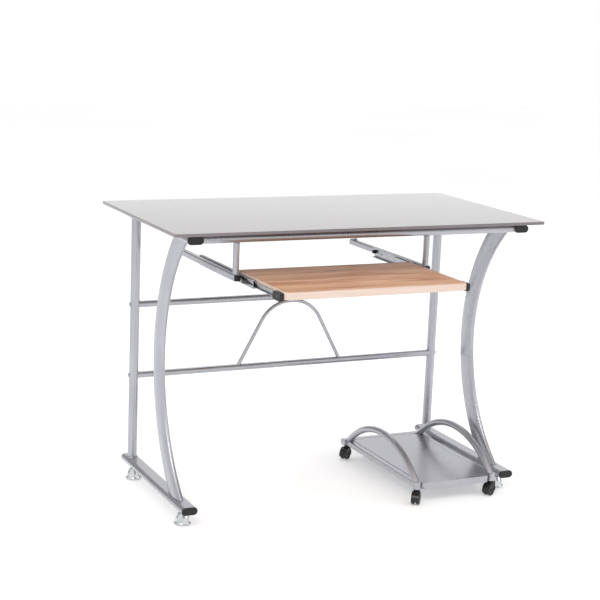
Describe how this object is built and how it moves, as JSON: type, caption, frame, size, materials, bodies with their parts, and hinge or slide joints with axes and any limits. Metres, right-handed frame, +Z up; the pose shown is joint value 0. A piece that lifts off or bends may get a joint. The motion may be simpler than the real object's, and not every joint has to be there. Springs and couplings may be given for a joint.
{
  "type": "computer desk",
  "caption": "Glass-topped computer desk on a bowed steel-tube frame, with a sliding keyboard tray and a matching rolling stand for a computer case.",
  "frame": {"origin": "on the floor, at the middle of the whole set's box with the tray drawn out", "axes": "+X to the sitter's right along the desk's length, +Y from the sitter to the back, +Z up"},
  "size_m": [1.05, 0.767, 0.75],
  "materials": {
    "glass": "tempered float glass, polished face and ground edge",
    "clear_pad": "clear soft plastic",
    "frame_paint": "silver-grey powder coat, satin",
    "black_plastic": "moulded polyethylene, fine texture",
    "chrome": "bright chrome plate",
    "zinc_steel": "zinc-plated sheet steel",
    "rubber": "moulded rubber",
    "maple": "maple veneer with light edge band, satin lacquer",
    "caster_plastic": "moulded nylon"
  },
  "bodies": {
    "desk": {"glass_top": "glass", "glass_pads": "clear_pad", "top_bar_left": "frame_paint", "top_bar_right": "frame_paint", "foot_bar_left": "frame_paint", "foot_bar_right": "frame_paint", "rear_post_left": "frame_paint", "rear_post_right": "frame_paint", "curved_leg_left": "frame_paint", "curved_leg_right": "frame_paint", "top_bar_plugs": "black_plastic", "foot_bar_plugs": "black_plastic", "front_rail": "frame_paint", "rear_rail": "frame_paint", "upper_crossbar": "frame_paint", "lower_crossbar": "frame_paint", "crossbar_bolts": "zinc_steel", "brace": "frame_paint", "weld_nuts": "zinc_steel", "hanger_bar_left": "frame_paint", "hanger_bar_right": "frame_paint", "hanger_post_front_left": "frame_paint", "hanger_post_front_right": "frame_paint", "hanger_post_rear_left": "frame_paint", "hanger_post_rear_right": "frame_paint", "hanger_plugs": "black_plastic", "slide_outer_left": "zinc_steel", "slide_outer_right": "zinc_steel", "slide_stops": "rubber", "hanger_screws": "zinc_steel"},
    "tray": {"tray_board": "maple", "slide_inner_left": "zinc_steel", "slide_inner_right": "zinc_steel", "slide_noses": "black_plastic", "tray_screws": "zinc_steel"},
    "middle_slide_left": {"slide_middle_left": "zinc_steel"},
    "middle_slide_right": {"slide_middle_right": "zinc_steel"},
    "stand": {"stand_arch_left": "frame_paint", "stand_arch_right": "frame_paint", "stand_side_rail_left": "frame_paint", "stand_side_rail_right": "frame_paint", "stand_deck": "frame_paint", "stand_rear_bar": "frame_paint", "stand_caps": "frame_paint"},
    "foot_front_left": {"foot_bell_front_left": "chrome", "foot_stud_front_left": "zinc_steel"},
    "foot_front_right": {"foot_bell_front_right": "chrome", "foot_stud_front_right": "zinc_steel"},
    "foot_rear_left": {"foot_bell_rear_left": "chrome", "foot_stud_rear_left": "zinc_steel"},
    "foot_rear_right": {"foot_bell_rear_right": "chrome", "foot_stud_rear_right": "zinc_steel"},
    "caster_front_left": {"caster_hood_front_left": "caster_plastic"},
    "wheels_front_left": {"caster_wheels_front_left": "caster_plastic"},
    "caster_front_right": {"caster_hood_front_right": "caster_plastic"},
    "wheels_front_right": {"caster_wheels_front_right": "caster_plastic"},
    "caster_rear_left": {"caster_hood_rear_left": "caster_plastic"},
    "wheels_rear_left": {"caster_wheels_rear_left": "caster_plastic"},
    "caster_rear_right": {"caster_hood_rear_right": "caster_plastic"},
    "wheels_rear_right": {"caster_wheels_rear_right": "caster_plastic"}
  },
  "joints": [
    {"name": "tray_slide", "type": "slide", "parent": "desk", "child": "tray", "axis": [0, 1, 0], "range_m": [0, 0.23]},
    {"name": "middle_slide_left_travel", "type": "slide", "parent": "desk", "child": "middle_slide_left", "axis": [0, 1, 0], "range_m": [0, 0.115]},
    {"name": "middle_slide_right_travel", "type": "slide", "parent": "desk", "child": "middle_slide_right", "axis": [0, 1, 0], "range_m": [0, 0.115]},
    {"name": "foot_front_left_height", "type": "slide", "parent": "desk", "child": "foot_front_left", "axis": [0, 0, -1], "range_m": [0, 0.012]},
    {"name": "foot_front_right_height", "type": "slide", "parent": "desk", "child": "foot_front_right", "axis": [0, 0, -1], "range_m": [0, 0.012]},
    {"name": "foot_rear_left_height", "type": "slide", "parent": "desk", "child": "foot_rear_left", "axis": [0, 0, -1], "range_m": [0, 0.012]},
    {"name": "foot_rear_right_height", "type": "slide", "parent": "desk", "child": "foot_rear_right", "axis": [0, 0, -1], "range_m": [0, 0.012]},
    {"name": "stand_roll", "type": "slide", "parent": "desk", "child": "stand", "axis": [0, -1, 0], "range_m": [0, 0.45]},
    {"name": "caster_front_left_swivel", "type": "hinge", "parent": "stand", "child": "caster_front_left", "pos_m": [0.18, -0.1715, 0.04], "axis": [0, 0, 1], "continuous": true},
    {"name": "wheels_front_left_spin", "type": "hinge", "parent": "caster_front_left", "child": "wheels_front_left", "pos_m": [0.17384, -0.17938, 0.016], "axis": [0.788, -0.6157, 0], "continuous": true},
    {"name": "caster_front_right_swivel", "type": "hinge", "parent": "stand", "child": "caster_front_right", "pos_m": [0.412, -0.1715, 0.04], "axis": [0, 0, 1], "continuous": true},
    {"name": "wheels_front_right_spin", "type": "hinge", "parent": "caster_front_right", "child": "wheels_front_right", "pos_m": [0.40334, -0.1765, 0.016], "axis": [0.5, -0.866, 0], "continuous": true},
    {"name": "caster_rear_left_swivel", "type": "hinge", "parent": "stand", "child": "caster_rear_left", "pos_m": [0.18, 0.2385, 0.04], "axis": [0, 0, 1], "continuous": true},
    {"name": "wheels_rear_left_spin", "type": "hinge", "parent": "caster_rear_left", "child": "wheels_rear_left", "pos_m": [0.17212, 0.23234, 0.016], "axis": [0.6157, -0.788, 0], "continuous": true},
    {"name": "caster_rear_right_swivel", "type": "hinge", "parent": "stand", "child": "caster_rear_right", "pos_m": [0.412, 0.2385, 0.04], "axis": [0, 0, 1], "continuous": true},
    {"name": "wheels_rear_right_spin", "type": "hinge", "parent": "caster_rear_right", "child": "wheels_rear_right", "pos_m": [0.40858, 0.2291, 0.016], "axis": [0.9397, -0.342, 0], "continuous": true}
  ],
  "couplings": [
    {"joint": "middle_slide_left_travel", "follows": "tray_slide", "ratio": 0.5},
    {"joint": "middle_slide_right_travel", "follows": "tray_slide", "ratio": 0.5}
  ]
}
